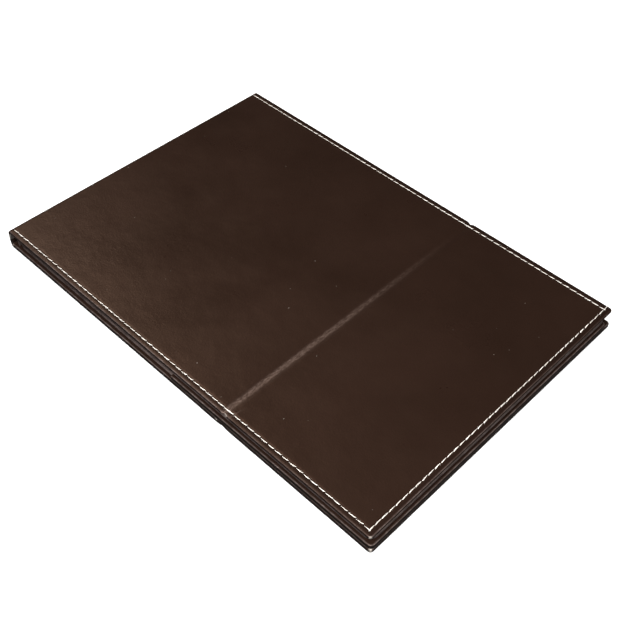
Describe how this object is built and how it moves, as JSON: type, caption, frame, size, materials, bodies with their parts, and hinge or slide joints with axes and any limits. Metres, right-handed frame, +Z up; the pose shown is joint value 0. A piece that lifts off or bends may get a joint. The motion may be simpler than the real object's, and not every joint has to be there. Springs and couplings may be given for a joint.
{
  "type": "leather notebook cover",
  "caption": "Dark brown leather notebook cover hinged on its short edge, with a contrast seam, a folding crease across the front cover and a hardcover notebook held in a pocket.",
  "frame": {"origin": "under the middle of the closed cover, on the surface that it lies on", "axes": "+X along the length from the spine to the free edge, +Y across the width, +Z up, out of the front cover"},
  "size_m": [0.3174, 0.2204, 0.0146],
  "materials": {
    "leather": "smooth semi-gloss, very dark brown",
    "lining": "matt woven lining, dark brown",
    "greyboard": "raw grey cardboard",
    "book_cloth": "padded leather-cloth, dark grey-brown, rounded edges",
    "endpaper": "matt cream paper",
    "paper": "matt off-white paper",
    "thread": "off-white waxed thread"
  },
  "bodies": {
    "back_cover": {"back_skin": "leather", "back_panel_board": "greyboard", "back_flap_board": "greyboard", "back_lining": "lining", "back_thread": "thread", "pocket_panel": "leather", "notebook_back_board": "book_cloth", "back_endpaper": "endpaper", "notebook_spine": "book_cloth", "page_block": "paper"},
    "spine": {"spine_skin": "leather", "spine_board": "greyboard", "spine_lining": "lining"},
    "front_panel": {"front_panel_skin": "leather", "front_panel_board": "greyboard", "front_panel_lining": "lining", "front_panel_thread": "thread"},
    "front_flap": {"front_flap_skin": "leather", "front_flap_board": "greyboard", "front_flap_lining": "lining", "front_flap_thread": "thread"},
    "notebook_cover": {"notebook_front_board": "book_cloth", "front_endpaper": "endpaper"}
  },
  "joints": [
    {"name": "spine_hinge", "type": "hinge", "parent": "back_cover", "child": "spine", "pos_m": [-0.1562, 0, 0.0012], "axis": [0, -1, 0], "range_deg": [0, 90]},
    {"name": "front_hinge", "type": "hinge", "parent": "spine", "child": "front_panel", "pos_m": [-0.1562, 0, 0.0132], "axis": [0, -1, 0], "range_deg": [0, 90]},
    {"name": "front_flap_fold", "type": "hinge", "parent": "front_panel", "child": "front_flap", "pos_m": [0.0492, 0, 0.0139], "axis": [0, 1, 0], "range_deg": [-150, 0]},
    {"name": "notebook_cover_hinge", "type": "hinge", "parent": "back_cover", "child": "notebook_cover", "pos_m": [-0.1498, 0, 0.0119], "axis": [0, -1, 0], "range_deg": [0, 182]}
  ],
  "couplings": [
    {"joint": "spine_hinge", "follows": "front_hinge", "ratio": 1},
    {"joint": "notebook_cover_hinge", "follows": "front_hinge", "ratio": 2.018}
  ]
}
